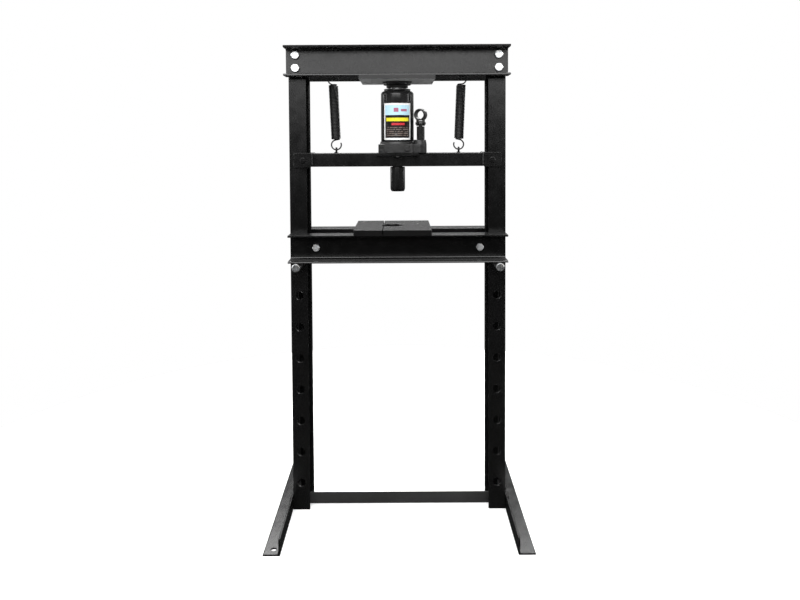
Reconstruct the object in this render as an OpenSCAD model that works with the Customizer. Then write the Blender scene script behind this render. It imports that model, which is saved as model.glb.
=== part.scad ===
// H-frame hydraulic shop press: two channel posts, a bolted crown, an adjustable bed and a bottle
// jack that stands on a sprung yoke. Origin: floor, centre of the footprint. +Z up, front at -Y.
// Millimetres.

/* [Frame] */
// Height from the floor to the top of the crown
frame_h = 1170; // [1150:5:1190]
// Width over the outer faces of the two posts
frame_w = 540; // [530:2:550]
// Depth of a post, front to back
post_depth = 86; // [84:1:90]
// Width of a post's flanges
post_flange = 43; // [42:1:46]
// Wall thickness of the channels
wall = 5; // [4.5:0.5:5.5]
// Distance between two bed holes in a post
hole_pitch = 80; // [78:1:80]
// Number of bed holes in each flange
hole_count = 8; // [7:1:8]
// Height of the lowest bed hole
hole_first = 70; // [66:1:72]

/* [Crown] */
// Length of the crown channels
crown_len = 550; // [546:2:560]
// Height of the crown channels
crown_h = 73; // [72:1:76]
// Width of the flanges of crown and bed
rail_flange = 52; // [48:1:54]
// Width of the bolster under the crown
bolster_w = 186; // [170:2:200]
// Thickness of the bolster
bolster_t = 9; // [8:0.5:10]

/* [Bed] */
// Length of the bed channels
bed_len = 538; // [530:2:538]
// Height of the bed channels
bed_h = 68; // [66:1:70]
// Diameter of the bed pins
pin_d = 20; // [18:0.5:20]
// How far the bed pins stand out from the posts
pin_reach = 62; // [58:1:66]
// Width of the left press plate
left_plate_w = 70.5; // [66:0.5:74]
// Width of the right press plate
right_plate_w = 118.5; // [100:0.5:120]
// Depth of the press plates
plate_depth = 212; // [192:2:216]
// Thickness of the press plates
plate_t = 14; // [12:1:14]

/* [Feet] */
// Length of the feet, front to back
foot_len = 498; // [460:2:520]
// Leg width of the foot angles
foot_leg = 40; // [38:1:42]
// Thickness of the foot angles
foot_t = 4; // [3.5:0.5:4]
// Diameter of the floor anchor hole
anchor_d = 14; // [10:1:15]

/* [Yoke] */
// Height of the top of the yoke
yoke_top = 907.5; // [907:0.5:908]
// Height of the yoke
yoke_h = 34; // [32:1:36]
// Depth of the yoke channel
yoke_depth = 50; // [46:1:54]
// Diameter of the press head
head_d = 37.5; // [34:0.5:40]
// Length of the press head below the yoke
head_len = 64; // [56:1:66]

/* [Jack] */
// Outer diameter of the oil tank
tank_d = 83; // [82:0.5:84]
// Diameter of the ram
ram_d = 36; // [34:0.5:36]
// Sideways distance from the jack axis to the pump axis
pump_x = 58.5; // [58:0.5:60]
// Outer diameter of the handle socket
socket_d = 30.5; // [29:0.5:32]
// Bore of the handle socket
socket_bore = 21; // [20:0.5:22]
// Length of the handle socket
socket_len = 18; // [16:0.5:20]
// Turn of the handle socket towards the middle of the press
socket_turn = 21; // [18:1:24]

/* [Springs] */
// Outer diameter of a return spring
spring_d = 24.5; // [22:0.5:26]
// Wire diameter of a return spring
wire_d = 3.5; // [3:0.25:4]
// Distance from the middle to a spring's upper hook
spring_top_x = 163; // [160:1:166]
// Distance from the middle to a spring's lower hook
spring_low_x = 156; // [153:1:158]

/* [Hidden] */
$fn = 64;

// Overshoot of a cut past the face it goes through
eps = 1;
// Number of straight steps in a profile's rounded corner
corner_steps = 5;
half_depth = post_depth / 2;
post_x = frame_w / 2;
hole_x = post_x - post_flange / 2;
post_top = frame_h - wall;
crown_z = frame_h - crown_h;

// Profile radii: inner fillet, flange tip and outer corner of a rolled channel or angle
fillet_r = 4;
tip_r = 2.5;
toe_r = 4;
edge_r = 1.5;

// Bed: the pins in the top pair of holes carry it
pin_z = hole_first + (hole_count - 1) * hole_pitch;
pin_hole_d = 21;
pin_chamfer = 1.5;
pin_len = post_depth + 2 * pin_reach;
bed_z = pin_z + pin_d / 2;
bed_top = bed_z + bed_h;
bed_gap = 1;
bed_y = half_depth + bed_gap;
plate_split_x = -37.5;
plate_gap = 1.5;
plate_hole_r = 27;
plate_hole_x = -14.5;
plate_corner = 2;

// Metric fasteners: [shank, across flats, head height, nut height]
m12 = [12, 19, 7.5, 10];
m10 = [10, 17, 6.4, 8];
m8 = [8, 13, 5.3, 6.5];
bolt_clearance = 1;
bolt_tail = 4;
shank_chamfer = 1;
head_bevel = 1.2;
crown_bolt_x = 251.5;
crown_bolt_z = [crown_z + 22, crown_z + 54];
bed_bolt_x = 204.5;
bed_bolt_z = bed_z + 32;
spacer_d = 22;
foot_bolt_y = 24;
foot_bolt_z = 21;

// Floor frame
anchor_inset = 21;
anchor_x = post_x + 18;
brace_h = 30;
brace_z = 1;
brace_t = 4;
brace_end_t = 5;
brace_end_depth = 64;
brace_end_h = 38;

// Yoke
yoke_z = yoke_top - yoke_h;
yoke_end_t = 10;
guide_gap = 0.8;
yoke_half = post_x - post_flange - guide_gap;
guide_t = 6;
guide_w = 42;
guide_h = 36;
guide_y = half_depth + guide_gap;
guide_screw_x = 236;
guide_head_h = 4.3;
seat_w = 104;
seat_t = 6;
seat_depth = 92;
seat_bolt_y = (yoke_depth + seat_depth) / 4;
seat_bolt_depth = 10;
head_chamfer = 2.5;
head_bevel_h = 6;
head_neck_d = 26;
head_neck_gap = 2;

// Jack body
base_w = 96;
base_h = 22;
base_top = yoke_top + base_h;
base_cut = 16;
shoulder_h = 7;
shoulder_wall = 1.5;
tank_top = 1063.5;
tank_wall = 3;
tank_r = tank_d / 2;
crown_round = [4, 8.5];
gland_d = 67;
gland_h = 5.5;
gland_bevel = 1.5;
plug_d = 46;
plug_h = 14;
filler_z = 1025;
filler_d = 9;
filler_cap = [13, 2];
label_z = 940.3;
label_h = 91.8;
label_sweep = 102;
label_t = 0.4;

// Pressure cylinder, ram and seals
fit = 0.05;
cyl_bore = 40;
cyl_d = 50;
cyl_floor = 3;
cyl_z = yoke_top + 17;
seal_w = 3;
seal_h = 4;
seal_recess = 5;
piston_d = 38;
piston_h = 8;
ram_low = cyl_z + 8;
ram_top = 1072;
bolster_z = crown_z - bolster_t;
cup_h = 9;
cup_d = 69;
cup_bore = 58;
cup_chamfer = 1;
screw_d = 22;
screw_depth = 90;
screw_play = 2;
saddle_d = 54.5;
saddle_h = 16;
saddle_groove = 2;
saddle_pitch = 8;

// Pump
pump_y = -24;
pump_r = 17;
pump_shift = 3;
pump_taper = 2;
pump_block_top = 940.5;
pump_top = 974;
pump_d = 20;
pump_spigot_d = 16;
pump_floor_z = 917;
pump_floor = 4;
plunger_d = 12;
plunger_low = 925;
plunger_lift = 0.2;
valve_x = 24;
valve_z = 919;
valve_d = 12;
valve_knob = [14, 5];
valve_slot = [3, 2];

// Handle socket: a fork over the plunger's eye and two lugs back to the fulcrum
socket_z = 1003;
pump_arm = 24;
pivot_y = pump_y + pump_arm;
pivot_z = 981.5;
pivot_d = 6;
pin_travel = 2.3;
eye_w = 8;
fork_d = 22;
fork_r = 6.3;
fork_gap = 9;
fork_top = 991;
fork_roof = 7.5;
fork_pin_len = 26;
lug_w = 4;
lug_r = 5;
link_depth = 12;
link_low_z = base_top + 1.5;
link_pin_len = 20;
ear_w = 18;
ear_depth = 15;
ear_h = 8;
ear_slot = 8.2;

// Springs
coil_top = 1081;
coil_low = 941.5;
hook_r = 12.5;
top_hook_z = 1094;
low_hook_z = 928.5;
low_hook = [100, 285];
top_hook = [275, -285];
hanger_d = 8;
hanger_z = top_hook_z + hook_r - wire_d / 2 - hanger_d / 2;
eye_wire = 4.5;
eye_r = 5.6;
eye_collar = [16, 7.5, 3];
eye_z = yoke_top + eye_r + eye_wire / 2;
eye_tail = 2;

// Points of a circular arc
function arc(cx, cy, r, from, to) = [
  for (i = [0:corner_steps])
    let (a = from + (to - from) * i / corner_steps)
      [cx + r * cos(a), cy + r * sin(a)]
];

// Rolled channel: web on the Y axis, flanges towards +X
module channel_profile(web, flange, t) {
  polygon(concat(
    arc(edge_r, edge_r, edge_r, 180, 270),
    [[flange, 0]],
    arc(flange - toe_r, t - toe_r, toe_r, 0, 90),
    arc(t + fillet_r, t + fillet_r, fillet_r, 270, 180),
    arc(t + fillet_r, web - t - fillet_r, fillet_r, 180, 90),
    arc(flange - toe_r, web - t + toe_r, toe_r, 270, 360),
    [[flange, web]],
    arc(edge_r, web - edge_r, edge_r, 90, 180)
  ));
}

// Rolled angle: one leg on each axis
module angle_profile(leg_x, leg_y, t) {
  polygon(concat(
    arc(edge_r, edge_r, edge_r, 180, 270),
    [[leg_x, 0]],
    arc(leg_x - tip_r, t - tip_r, tip_r, 0, 90),
    arc(t + tip_r, t + tip_r, tip_r, 270, 180),
    arc(t - tip_r, leg_y - tip_r, tip_r, 0, 90),
    [[0, leg_y]]
  ));
}

// Horizontal channel on the rear side, its web's back at y0
module rail(len, h, y0, z0) {
  translate([-len / 2, y0, z0])
    rotate([90, 0, 90])
      linear_extrude(len)
        channel_profile(h, rail_flange, wall);
}

// Places its children at both signs of X
module both_x() {
  children();
  mirror([1, 0, 0])
    children();
}

// Places its children at both signs of Y
module both_y() {
  children();
  mirror([0, 1, 0])
    children();
}

// Cylinder along Y, centred
module bar_y(d, len) {
  rotate([90, 0, 0])
    cylinder(d = d, h = len, center = true);
}

// Cylinder along X, centred
module bar_x(d, len) {
  rotate([0, 90, 0])
    cylinder(d = d, h = len, center = true);
}

// Bar along Z with both ends chamfered, from z = 0
module chamfered_bar(d, len, c) {
  rotate_extrude()
    polygon([[0, 0], [d / 2 - c, 0], [d / 2, c], [d / 2, len - c], [d / 2 - c, len], [0, len]]);
}

// Hexagonal prism with a turned bevel on its outer end
module hex_head(flats, h) {
  corners = flats / cos(30);
  intersection() {
    cylinder(d = corners, h = h, $fn = 6);
    rotate_extrude()
      polygon([
        [0, 0], [corners / 2, 0], [corners / 2, h - head_bevel],
        [flats / 2 - head_bevel / 2, h], [0, h]
      ]);
  }
}

// Bolt whose head's underside is at z = 0, with its shank towards -Z
module bolt(m, len) {
  hex_head(m[1], m[2]);
  translate([0, 0, -len])
    chamfered_bar(m[0], len, shank_chamfer);
}

// Nut that stands on z = 0 and grips a shank of the same size
module nut(m) {
  difference() {
    hex_head(m[1], m[3]);
    translate([0, 0, -eps])
      cylinder(d = m[0] + 2 * fit, h = m[3] + 2 * eps);
  }
}

// Spring hook: an open ring in the XZ plane, given as [start, sweep]
module hook(angles) {
  rotate([90, 0, 0])
    rotate([0, 0, angles[0]])
      rotate_extrude(angle = angles[1])
        translate([hook_r, 0])
          circle(d = wire_d, $fn = 24);
}

/* ---- Frame ---- */

module post() {
  difference() {
    translate([-post_x, -half_depth, 0])
      linear_extrude(post_top)
        channel_profile(post_depth, post_flange, wall);
    for (i = [0:hole_count - 1])
      translate([-hole_x, 0, hole_first + i * hole_pitch])
        bar_y(pin_hole_d, post_depth + 2 * eps);
    for (z = crown_bolt_z)
      translate([-crown_bolt_x, 0, z])
        bar_y(m12[0] + bolt_clearance, post_depth + 2 * eps);
    both_y()
      translate([-post_x, foot_bolt_y, foot_bolt_z])
        bar_x(m10[0] + bolt_clearance, 4 * wall);
  }
}

module left_post() {
  color("#1c1c1e")
    post();
}

module right_post() {
  color("#1c1c1e")
    mirror([1, 0, 0])
      post();
}

module crown_rail() {
  difference() {
    rail(crown_len, crown_h, half_depth, crown_z);
    both_x()
      for (z = crown_bolt_z)
        translate([crown_bolt_x, half_depth, z])
          bar_y(m12[0] + bolt_clearance, 4 * wall);
  }
}

module crown_front() {
  color("#3a3a3c")
    mirror([0, 1, 0])
      crown_rail();
}

module crown_rear() {
  color("#3a3a3c")
    crown_rail();
}

module crown_bolts() {
  grip = 2 * wall + m12[3] + bolt_tail;
  color("#d8dadc")
    both_y()
      both_x()
        for (z = crown_bolt_z)
          translate([crown_bolt_x, half_depth + wall, z])
            rotate([-90, 0, 0])
              bolt(m12, grip);
}

module crown_nuts() {
  color("#c8cacc")
    both_y()
      both_x()
        for (z = crown_bolt_z)
          translate([crown_bolt_x, half_depth - wall, z])
            rotate([90, 30, 0])
              nut(m12);
}

module bolster_plate() {
  depth = post_depth + 2 * rail_flange;
  color("#48484a")
    translate([-bolster_w / 2, -depth / 2, bolster_z])
      cube([bolster_w, depth, bolster_t]);
}

module ram_cup() {
  color("#1c1c1e")
    translate([0, 0, bolster_z - cup_h])
      rotate_extrude()
        polygon([
          [cup_bore / 2, 0], [cup_d / 2 - cup_chamfer, 0], [cup_d / 2, cup_chamfer],
          [cup_d / 2, cup_h], [cup_bore / 2, cup_h]
        ]);
}

module spring_hangers() {
  color("#1c1c1e")
    both_x()
      translate([spring_top_x, 0, hanger_z])
        bar_y(hanger_d, post_depth);
}

// Extension spring on the -X side: close coil and two open hooks
module spring() {
  lean = atan2(spring_top_x - spring_low_x, top_hook_z - low_hook_z);
  coil_x = spring_low_x + (coil_low - low_hook_z) * tan(lean);
  translate([-coil_x, 0, coil_low])
    rotate([0, -lean, 0])
      difference() {
        cylinder(d = spring_d, h = coil_top - coil_low);
        translate([0, 0, wire_d])
          cylinder(d = spring_d - 2 * wire_d, h = coil_top - coil_low - 2 * wire_d);
      }
  translate([-spring_low_x, 0, low_hook_z])
    hook(low_hook);
  translate([-spring_top_x, 0, top_hook_z])
    hook(top_hook);
}

module left_spring() {
  color("#202022")
    spring();
}

module right_spring() {
  color("#202022")
    mirror([1, 0, 0])
      spring();
}

// Angle foot of the left post: the upright leg lies on the post, the other on the floor
module foot() {
  difference() {
    translate([-post_x, -foot_len / 2, 0])
      rotate([90, 0, 180])
        linear_extrude(foot_len)
          angle_profile(foot_leg, foot_leg, foot_t);
    translate([-anchor_x, anchor_inset - foot_len / 2, -eps])
      cylinder(d = anchor_d, h = foot_t + 2 * eps);
    both_y()
      translate([-post_x, foot_bolt_y, foot_bolt_z])
        bar_x(m10[0] + bolt_clearance, 4 * wall);
  }
}

module left_foot() {
  color("#1c1c1e")
    foot();
}

module right_foot() {
  color("#1c1c1e")
    rotate([0, 0, 180])
      foot();
}

// Angle between the posts, with a bolted plate on each end
module lower_brace() {
  inner = post_x - wall;
  color("#2c2c2e")
    difference() {
      union() {
        translate([brace_end_t - inner, -brace_h / 2, brace_z])
          rotate([90, 0, 90])
            linear_extrude(2 * (inner - brace_end_t))
              angle_profile(brace_h, brace_h, brace_t);
        both_x()
          translate([inner - brace_end_t, -brace_end_depth / 2, brace_z])
            cube([brace_end_t, brace_end_depth, brace_end_h]);
      }
      both_x()
        both_y()
          translate([inner, foot_bolt_y, foot_bolt_z])
            bar_x(m10[0] + bolt_clearance, 4 * wall);
    }
}

module foot_bolts() {
  grip = foot_t + wall + brace_end_t + m10[3] + bolt_tail;
  color("#d8dadc")
    both_x()
      both_y()
        translate([post_x + foot_t, foot_bolt_y, foot_bolt_z])
          rotate([0, 90, 0])
            bolt(m10, grip);
}

module foot_nuts() {
  color("#c8cacc")
    both_x()
      both_y()
        translate([post_x - wall - brace_end_t, foot_bolt_y, foot_bolt_z])
          rotate([0, -90, 0])
            nut(m10);
}

/* ---- Ram, held against the crown ---- */

// Ring of a seal that stands on z0
module seal(d, z0) {
  translate([0, 0, z0])
    difference() {
      cylinder(d = d + 2 * seal_w, h = seal_h);
      translate([0, 0, -eps])
        cylinder(d = d, h = seal_h + 2 * eps);
    }
}

module jack_ram() {
  color("#b8babc")
    difference() {
      union() {
        translate([0, 0, ram_low])
          cylinder(d = ram_d, h = ram_top - ram_low);
        translate([0, 0, ram_low])
          cylinder(d = piston_d, h = piston_h);
      }
      translate([0, 0, ram_top - screw_depth])
        cylinder(d = screw_d + 2 * fit, h = screw_depth + eps);
    }
}

module piston_cup() {
  color("#101010")
    translate([0, 0, ram_low + piston_h])
      difference() {
        cylinder(d = cyl_bore - 2 * fit, h = seal_h);
        translate([0, 0, -eps])
          cylinder(d = ram_d, h = seal_h + 2 * eps);
      }
}

// Threaded extension screw with a ribbed saddle
module extension_screw() {
  low = ram_top - screw_depth + screw_play;
  saddle_z = bolster_z - saddle_h;
  color("#9a9c9e")
    difference() {
      union() {
        translate([0, 0, low])
          cylinder(d = screw_d, h = saddle_z - low);
        translate([0, 0, saddle_z])
          cylinder(d = saddle_d, h = saddle_h);
      }
      for (i = [-2:2])
        translate([i * saddle_pitch - saddle_groove / 2, -saddle_d, bolster_z - saddle_groove])
          cube([saddle_groove, 2 * saddle_d, 2 * saddle_groove]);
    }
}

/* ---- Yoke ---- */

// Channel across the press, open below
module yoke_channel() {
  len = 2 * (yoke_half - yoke_end_t);
  color("#1a1a1c")
    difference() {
      translate([-len / 2, -yoke_depth / 2, yoke_top])
        rotate([0, 90, 0])
          linear_extrude(len)
            channel_profile(yoke_depth, yoke_h, wall);
      both_x()
        translate([spring_low_x, 0, yoke_top - 2 * wall])
          cylinder(d = m8[0] + bolt_clearance, h = 3 * wall);
    }
}

module yoke_ends() {
  depth = 2 * guide_y;
  color("#1a1a1c")
    both_x()
      translate([yoke_half - yoke_end_t, -depth / 2, yoke_z])
        cube([yoke_end_t, depth, yoke_h]);
}

module guide_plates() {
  x0 = yoke_half - yoke_end_t;
  color("#1a1a1c")
    both_x()
      both_y()
        translate([x0, guide_y, yoke_z - (guide_h - yoke_h) / 2])
          difference() {
            cube([guide_w, guide_t, guide_h]);
            translate([guide_screw_x - x0, guide_t / 2, guide_h / 2])
              bar_y(m8[0] + 2 * fit, 2 * guide_t);
          }
}

// Screws that set the play of the guides, just clear of the posts
module guide_screws() {
  reach = guide_t + guide_gap / 2;
  color("#242426")
    both_x()
      both_y()
        translate([guide_screw_x, guide_y + guide_t, yoke_z + yoke_h / 2])
          rotate([-90, 0, 0]) {
            hex_head(m8[1], guide_head_h);
            translate([0, 0, -reach])
              cylinder(d = m8[0], h = reach);
          }
}

// Eye bolts that hold the lower spring hooks
module spring_eyes() {
  grip = wall + m8[3] + eye_tail;
  color("#242426")
    both_x()
      translate([spring_low_x, 0, 0]) {
        translate([0, 0, eye_z])
          rotate([0, 90, 0])
            rotate_extrude()
              translate([eye_r, 0])
                circle(d = eye_wire, $fn = 24);
        translate([0, 0, yoke_top])
          cylinder(d1 = eye_collar[0], d2 = eye_collar[1], h = eye_collar[2]);
        translate([0, 0, yoke_top - grip])
          cylinder(d = m8[0], h = grip + eps);
      }
}

module eye_nuts() {
  color("#c8cacc")
    both_x()
      translate([spring_low_x, 0, yoke_top - wall])
        mirror([0, 0, 1])
          nut(m8);
}

// Round head on a neck that is welded under the yoke's web
module press_head() {
  z0 = yoke_z - head_len;
  neck_z = yoke_z - head_neck_gap;
  color("#1a1a1c")
    rotate_extrude()
      polygon([
        [0, z0], [head_d / 2 - head_chamfer, z0], [head_d / 2, z0 + head_bevel_h],
        [head_d / 2, neck_z], [head_neck_d / 2, neck_z],
        [head_neck_d / 2, yoke_top - wall], [0, yoke_top - wall]
      ]);
}

// Wings on both sides of the yoke that widen the seat of the jack
module jack_seat() {
  color("#1a1a1c")
    difference() {
      both_y()
        translate([-seat_w / 2, yoke_depth / 2, yoke_top - seat_t])
          cube([seat_w, (seat_depth - yoke_depth) / 2, seat_t]);
      both_y()
        translate([0, seat_bolt_y, yoke_top - 2 * seat_t])
          cylinder(d = m8[0] + bolt_clearance, h = 3 * seat_t);
    }
}

module jack_bolts() {
  color("#c8cacc")
    both_y()
      translate([0, seat_bolt_y, yoke_top - seat_t])
        mirror([0, 0, 1])
          bolt(m8, seat_t + seat_bolt_depth);
}

/* ---- Jack ---- */

module base_outline() {
  h = base_w / 2;
  c = h - base_cut;
  polygon([[-c, -h], [c, -h], [h, -c], [h, c], [c, h], [-c, h], [-h, c], [-h, -c]]);
}

// Block at the front right of the base that carries the pump
module pump_block() {
  translate([0, pump_y - pump_r, yoke_top])
    cube([pump_x - pump_shift, 2 * pump_r, base_h]);
  translate([pump_x - pump_shift, pump_y, yoke_top])
    cylinder(r = pump_r + 1, h = base_h);
  translate([pump_x - pump_taper, pump_y, base_top])
    cylinder(r1 = pump_r, r2 = pump_r - pump_taper, h = pump_block_top - base_top);
}

// Two ears behind the pump that hold the foot of the fulcrum link
module link_ears() {
  y0 = pivot_y - ear_depth / 2;
  difference() {
    union() {
      translate([0, y0, yoke_top])
        cube([pump_x + ear_w / 2, ear_depth, base_h]);
      translate([pump_x - ear_w / 2, y0, yoke_top])
        cube([ear_w, ear_depth, base_h + ear_h]);
    }
    translate([pump_x - ear_slot / 2, pivot_y - link_depth / 2 - fit, base_top - link_depth / 2])
      cube([ear_slot, 2 * ear_depth, 2 * ear_h + link_depth]);
    translate([pump_x, pivot_y, link_low_z])
      bar_x(pivot_d, 2 * ear_w);
  }
}

// Cast base of the jack
module jack_base() {
  color("#232325")
    difference() {
      union() {
        translate([0, 0, yoke_top])
          linear_extrude(base_h)
            base_outline();
        translate([0, 0, base_top])
          cylinder(d1 = base_w - 4 * shoulder_wall, d2 = tank_d + 2 * shoulder_wall, h = shoulder_h);
        pump_block();
        link_ears();
      }
      translate([0, 0, cyl_z])
        cylinder(d = cyl_d + 2 * fit, h = 2 * base_h);
      translate([0, 0, base_top])
        cylinder(r = tank_r + fit, h = 2 * base_h);
      translate([pump_x, pump_y, pump_floor_z])
        cylinder(d = pump_spigot_d + 2 * fit, h = pump_block_top);
      translate([valve_x, -base_w / 2, valve_z])
        bar_y(valve_d + 2 * fit, 2 * base_cut);
      both_y()
        translate([0, seat_bolt_y, yoke_top - eps])
          cylinder(d = m8[0] + 2 * fit, h = seat_bolt_depth + eps);
    }
}

// Drawn tank shell with a rounded shoulder
module jack_tank() {
  r_in = tank_r - tank_wall;
  color("#1e1e20")
    difference() {
      rotate_extrude()
        polygon([
          [tank_r, base_top], [tank_r, tank_top - crown_round[1]],
          [tank_r - crown_round[0], tank_top - crown_round[0] / 2],
          [gland_d / 2, tank_top], [plug_d / 2, tank_top], [plug_d / 2, tank_top - tank_wall],
          [r_in - crown_round[0], tank_top - tank_wall - crown_round[0] / 2],
          [r_in, tank_top - tank_wall - crown_round[1]], [r_in, base_top]
        ]);
      translate([0, r_in, filler_z])
        bar_y(filler_d, 4 * tank_wall);
    }
}

module jack_cylinder() {
  color("#8a8c8e")
    difference() {
      translate([0, 0, cyl_z])
        cylinder(d = cyl_d, h = tank_top - plug_h - cyl_z);
      translate([0, 0, cyl_z + cyl_floor])
        cylinder(d = cyl_bore, h = tank_top);
    }
}

// Round cap nut that closes the tank and guides the ram
module gland_nut() {
  bore = ram_d / 2 + fit;
  top = tank_top + gland_h;
  color("#1c1c1e")
    rotate_extrude()
      polygon([
        [bore, tank_top - plug_h], [plug_d / 2 - fit, tank_top - plug_h], [plug_d / 2 - fit, tank_top],
        [gland_d / 2, tank_top], [gland_d / 2, top - gland_bevel],
        [gland_d / 2 - gland_bevel, top], [bore + seal_w, top],
        [bore + seal_w, top - seal_recess], [bore, top - seal_recess]
      ]);
}

module ram_seal() {
  color("#101010")
    seal(ram_d + 2 * fit, tank_top + gland_h - seal_recess);
}

module pump_cylinder() {
  color("#1c1c1e")
    translate([pump_x, pump_y, 0])
      difference() {
        union() {
          translate([0, 0, pump_block_top])
            chamfered_bar(pump_d, pump_top - pump_block_top, 1);
          translate([0, 0, pump_floor_z])
            cylinder(d = pump_spigot_d, h = pump_block_top - pump_floor_z + eps);
        }
        translate([0, 0, pump_floor_z + pump_floor])
          cylinder(d = plunger_d + 2 * fit, h = pump_top);
        translate([0, 0, pump_top - seal_recess])
          cylinder(d = plunger_d + 2 * (fit + seal_w), h = 2 * seal_recess);
      }
}

module pump_seal() {
  color("#101010")
    translate([pump_x, pump_y, 0])
      seal(plunger_d + 2 * fit, pump_top - seal_recess);
}

// Upright link behind the pump that carries the pivot of the handle socket
module fulcrum_link() {
  color("#1c1c1e")
    translate([pump_x, pivot_y, 0])
      difference() {
        union() {
          translate([-eye_w / 2, -link_depth / 2, link_low_z])
            cube([eye_w, link_depth, pivot_z - link_low_z]);
          for (z = [link_low_z, pivot_z])
            translate([0, 0, z])
              bar_x(link_depth, eye_w);
        }
        for (z = [link_low_z, pivot_z])
          translate([0, 0, z])
            bar_x(pivot_d, 2 * eye_w);
      }
}

module fulcrum_pins() {
  color("#c8cacc")
    for (z = [link_low_z, pivot_z])
      translate([pump_x, pivot_y, z])
        bar_x(pivot_d, link_pin_len);
}

module filler_plug() {
  color("#101010")
    translate([0, tank_r - tank_wall, filler_z]) {
      translate([0, tank_wall / 2, 0])
        bar_y(filler_d, tank_wall);
      translate([0, tank_wall + filler_cap[1] / 2, 0])
        bar_y(filler_cap[0], filler_cap[1]);
    }
}

// Plain wrap-around label plate on the front of the tank
module tank_label() {
  color("#e8eaee")
    translate([0, 0, label_z])
      rotate([0, 0, -90 - label_sweep / 2])
        rotate_extrude(angle = label_sweep)
          translate([tank_r, 0])
            square([label_t, label_h]);
}

// Screw with a slotted knob at the front of the base
module release_valve() {
  color("#b0b2b4")
    translate([valve_x, -base_w / 2, valve_z])
      difference() {
        rotate([90, 0, 0]) {
          translate([0, 0, eps - base_cut])
            cylinder(d = valve_d, h = base_cut + eps);
          translate([0, 0, eps])
            chamfered_bar(valve_knob[0], valve_knob[1], 1);
        }
        translate([-valve_d, -eps - valve_knob[1] - valve_slot[1], -valve_slot[0] / 2])
          cube([2 * valve_d, 2 * valve_slot[1], valve_slot[0]]);
      }
}

/* ---- Pump drive ---- */

// Stadium across the pump axis, as long as the pin travels in the plunger's eye
module eye_shape(d, len) {
  for (y = [0, pin_travel])
    translate([0, y, pivot_z])
      bar_x(d, len);
  translate([-len / 2, 0, pivot_z - d / 2])
    cube([len, pin_travel, d]);
}

// Plunger with a flat eye whose slot takes the socket's pin
module pump_plunger() {
  eye_z0 = pump_top + plunger_lift;
  color("#2a2a2c")
    translate([pump_x, pump_y, 0])
      difference() {
        union() {
          translate([0, 0, plunger_low])
            cylinder(d = plunger_d, h = eye_z0 + plunger_lift - plunger_low);
          translate([-eye_w / 2, -plunger_d / 2, eye_z0])
            cube([eye_w, plunger_d, pivot_z - eye_z0]);
          eye_shape(plunger_d, eye_w);
        }
        eye_shape(pivot_d + 2, 2 * eye_w);
      }
}

// Body of the socket's fork, round below so that it can tilt on the plunger
module fork_body() {
  intersection() {
    translate([0, 0, pivot_z - fork_r])
      cylinder(d = fork_d, h = fork_top - pivot_z + fork_r);
    union() {
      translate([0, 0, pivot_z])
        bar_x(2 * fork_r, fork_d);
      translate([-fork_d / 2, -fork_d / 2, pivot_z])
        cube([fork_d, fork_d, fork_top - pivot_z]);
    }
  }
}

// Lug on each side of the fulcrum link
module lugs() {
  for (side = [-1, 1])
    translate([side * (fork_gap + lug_w) / 2, 0, pivot_z]) {
      translate([-lug_w / 2, 0, -lug_r])
        cube([lug_w, pump_arm, 2 * lug_r]);
      translate([0, pump_arm, 0])
        bar_x(2 * lug_r, lug_w);
    }
}

// See-through ring for the handle on a fork that works the plunger
module handle_socket() {
  color("#222224")
    translate([pump_x, pump_y, 0])
      difference() {
        union() {
          translate([0, 0, socket_z])
            rotate([0, 0, -socket_turn])
              rotate([90, 0, 0])
                translate([0, 0, -socket_len / 2])
                  chamfered_bar(socket_d, socket_len, 1);
          fork_body();
          lugs();
        }
        translate([0, 0, socket_z])
          rotate([0, 0, -socket_turn])
            bar_y(socket_bore, 3 * socket_len);
        translate([-fork_gap / 2, -fork_d, pivot_z - 2 * fork_r])
          cube([fork_gap, 2 * fork_d, 2 * fork_r + fork_roof]);
        translate([0, 0, pivot_z])
          bar_x(pivot_d, 2 * fork_d);
        translate([0, pump_arm, pivot_z])
          bar_x(pivot_d + 2 * fit, 2 * fork_d);
      }
}

module plunger_pin() {
  color("#c8cacc")
    translate([pump_x, pump_y, pivot_z])
      bar_x(pivot_d, fork_pin_len);
}

/* ---- Bed ---- */

module bed_rail() {
  difference() {
    rail(bed_len, bed_h, bed_y, bed_z);
    both_x()
      translate([bed_bolt_x, bed_y, bed_bolt_z])
        bar_y(m10[0] + bolt_clearance, 4 * wall);
  }
}

module bed_front() {
  color("#1c1c1e")
    mirror([0, 1, 0])
      bed_rail();
}

module bed_rear() {
  color("#1c1c1e")
    bed_rail();
}

module bed_spacers() {
  color("#1c1c1e")
    both_x()
      translate([bed_bolt_x, 0, bed_bolt_z])
        difference() {
          bar_y(spacer_d, 2 * bed_y);
          bar_y(m10[0] + bolt_clearance, 3 * bed_y);
        }
}

module bed_bolts() {
  grip = 2 * (bed_y + wall) + m10[3] + bolt_tail;
  color("#d8dadc")
    both_x()
      translate([bed_bolt_x, -bed_y - wall, bed_bolt_z])
        rotate([90, 0, 0])
          bolt(m10, grip);
}

module bed_nuts() {
  color("#c8cacc")
    both_x()
      translate([bed_bolt_x, bed_y + wall, bed_bolt_z])
        rotate([-90, 0, 0])
          nut(m10);
}

module bed_pin(side) {
  translate([side * hole_x, pin_len / 2, pin_z])
    rotate([90, 0, 0])
      chamfered_bar(pin_d, pin_len, pin_chamfer);
}

module left_bed_pin() {
  color("#b4b6b8")
    bed_pin(-1);
}

module right_bed_pin() {
  color("#b4b6b8")
    bed_pin(1);
}

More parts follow.
